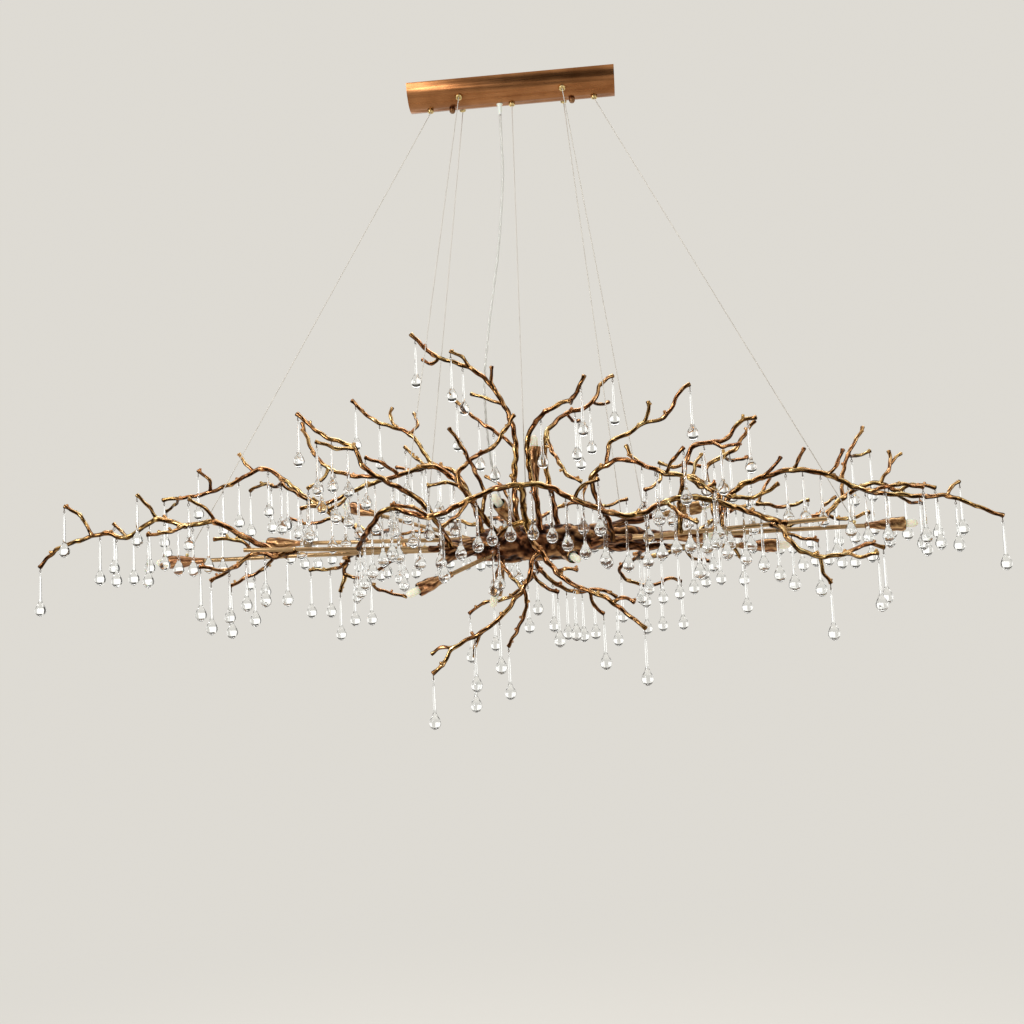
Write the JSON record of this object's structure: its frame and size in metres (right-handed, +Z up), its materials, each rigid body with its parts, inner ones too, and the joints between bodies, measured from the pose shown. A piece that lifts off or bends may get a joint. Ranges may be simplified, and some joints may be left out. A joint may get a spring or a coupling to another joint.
{
  "type": "branch chandelier",
  "caption": "Long linear chandelier: cast brass twig sprays on a bark hub and thin rods, hung with glass drops, under a half-round ceiling cover on steel wires.",
  "frame": {"origin": "centre of the ceiling bracket's top face, where it lies on the ceiling", "axes": "+X along the fixture, +Y away from the picture's viewer, +Z up into the ceiling; the whole part hangs below z = 0"},
  "size_m": [1.8342, 0.4488, 1.2251],
  "materials": {
    "cover_copper": "brushed copper lacquer",
    "zinc_steel": "zinc plated",
    "knob_bronze": "dark bronze",
    "block_plastic": "moulded",
    "grip_plastic": "moulded clear-white",
    "gripper_brass": "satin",
    "wire_steel": "stranded bright steel",
    "clear_cord": "clear sheath",
    "hub_steel": "dark lacquer",
    "bark_bronze": "cast bark, dark bronze patina",
    "socket_bronze": "cast bark, bronze patina rubbed on the ridges",
    "rod_bronze": "brushed bronze lacquer",
    "ceramic_white": "glazed",
    "frosted_bulb": "frosted",
    "twig_brass": "antique gold lacquer, rubbed on the ridges",
    "hook_wire": "dark bronze wire",
    "drop_glass": "clear, fire polished"
  },
  "bodies": {
    "fixture": {"canopy_cover": "cover_copper", "ceiling_bracket": "zinc_steel", "bracket_studs": "zinc_steel", "terminal_block": "block_plastic", "cord_grip": "grip_plastic", "cable_grippers": "gripper_brass", "suspension_wires": "wire_steel", "power_cord": "clear_cord", "wire_anchors": "gripper_brass", "hub_core": "hub_steel", "hub_bark": "bark_bronze", "hub_roots": "bark_bronze", "arm_rods_left": "rod_bronze", "arm_rods_right": "rod_bronze", "socket_sleeves": "socket_bronze", "lampholders": "ceramic_white", "bulbs": "frosted_bulb", "spray_left_tip": "twig_brass", "spray_left_upper": "twig_brass", "spray_left_front": "twig_brass", "spray_left_back": "twig_brass", "spray_left_long": "twig_brass", "spray_left_low": "twig_brass", "spray_top": "twig_brass", "spray_cross": "twig_brass", "spray_arch": "twig_brass", "spray_bottom": "twig_brass", "spray_centre_back": "twig_brass", "spray_right_up": "twig_brass", "spray_right_mid": "twig_brass", "spray_right_centre": "twig_brass", "spray_right_loop": "twig_brass", "spray_right_tip": "twig_brass", "spray_right_twigs": "twig_brass", "spray_right_low": "twig_brass", "spray_right_back": "twig_brass", "hooks_left_end": "hook_wire", "hooks_left": "hook_wire", "hooks_centre": "hook_wire", "hooks_right": "hook_wire", "hooks_right_end": "hook_wire", "drops_left_end": "drop_glass", "drops_left": "drop_glass", "drops_left_inner": "drop_glass", "drops_right_inner": "drop_glass", "drops_right": "drop_glass", "drops_right_end": "drop_glass"},
    "knob_left": {"canopy_knob_left": "knob_bronze"},
    "knob_right": {"canopy_knob_right": "knob_bronze"},
    "drop_left_end": {"swing_left_end": "drop_glass"},
    "drop_left_fork": {"swing_left_fork": "drop_glass"},
    "drop_left_back": {"swing_left_back": "drop_glass"},
    "drop_left_front": {"swing_left_front": "drop_glass"},
    "drop_top": {"swing_top": "drop_glass"},
    "drop_bottom_left": {"swing_bottom_left": "drop_glass"},
    "drop_bottom_right": {"swing_bottom_right": "drop_glass"},
    "drop_right_up": {"swing_right_up": "drop_glass"},
    "drop_right_mid": {"swing_right_mid": "drop_glass"},
    "drop_right_end": {"swing_right_end": "drop_glass"},
    "drop_right_low": {"swing_right_low": "drop_glass"}
  },
  "joints": [
    {"name": "cover_knob_left_turn", "type": "hinge", "parent": "fixture", "child": "knob_left", "pos_m": [-0.117, 0, -0.045], "axis": [0, 0, 1], "continuous": true},
    {"name": "cover_knob_right_turn", "type": "hinge", "parent": "fixture", "child": "knob_right", "pos_m": [0.117, 0, -0.045], "axis": [0, 0, 1], "continuous": true},
    {"name": "drop_left_end_swing", "type": "hinge", "parent": "fixture", "child": "drop_left_end", "pos_m": [-0.96368, -0.00034, -0.90617], "axis": [0, 1, 0], "range_deg": [-30, 30]},
    {"name": "drop_left_fork_swing", "type": "hinge", "parent": "fixture", "child": "drop_left_fork", "pos_m": [-0.89409, -0.03966, -0.79773], "axis": [0, 1, 0], "range_deg": [-30, 30]},
    {"name": "drop_left_back_swing", "type": "hinge", "parent": "fixture", "child": "drop_left_back", "pos_m": [-0.73746, 0.05998, -0.78206], "axis": [0, 1, 0], "range_deg": [-30, 30]},
    {"name": "drop_left_front_swing", "type": "hinge", "parent": "fixture", "child": "drop_left_front", "pos_m": [-0.40833, -0.1202, -0.66374], "axis": [0, 1, 0], "range_deg": [-30, 30]},
    {"name": "drop_top_swing", "type": "hinge", "parent": "fixture", "child": "drop_top", "pos_m": [-0.20511, -0.02, -0.51041], "axis": [0, 1, 0], "range_deg": [-30, 30]},
    {"name": "drop_bottom_left_swing", "type": "hinge", "parent": "fixture", "child": "drop_bottom_left", "pos_m": [-0.1774, -0.12194, -1.13972], "axis": [0, 1, 0], "range_deg": [-30, 30]},
    {"name": "drop_bottom_right_swing", "type": "hinge", "parent": "fixture", "child": "drop_bottom_right", "pos_m": [0.1946, -0.14952, -1.07697], "axis": [0, 1, 0], "range_deg": [-30, 30]},
    {"name": "drop_right_up_swing", "type": "hinge", "parent": "fixture", "child": "drop_right_up", "pos_m": [0.1075, -0.11388, -0.63858], "axis": [0, 1, 0], "range_deg": [-30, 30]},
    {"name": "drop_right_mid_swing", "type": "hinge", "parent": "fixture", "child": "drop_right_mid", "pos_m": [0.29546, -0.16001, -0.66444], "axis": [0, 1, 0], "range_deg": [-30, 30]},
    {"name": "drop_right_end_swing", "type": "hinge", "parent": "fixture", "child": "drop_right_end", "pos_m": [0.8485, -0.00013, -0.90753], "axis": [0, 1, 0], "range_deg": [-30, 30]},
    {"name": "drop_right_low_swing", "type": "hinge", "parent": "fixture", "child": "drop_right_low", "pos_m": [0.51554, -0.11614, -1.01539], "axis": [0, 1, 0], "range_deg": [-30, 30]}
  ]
}
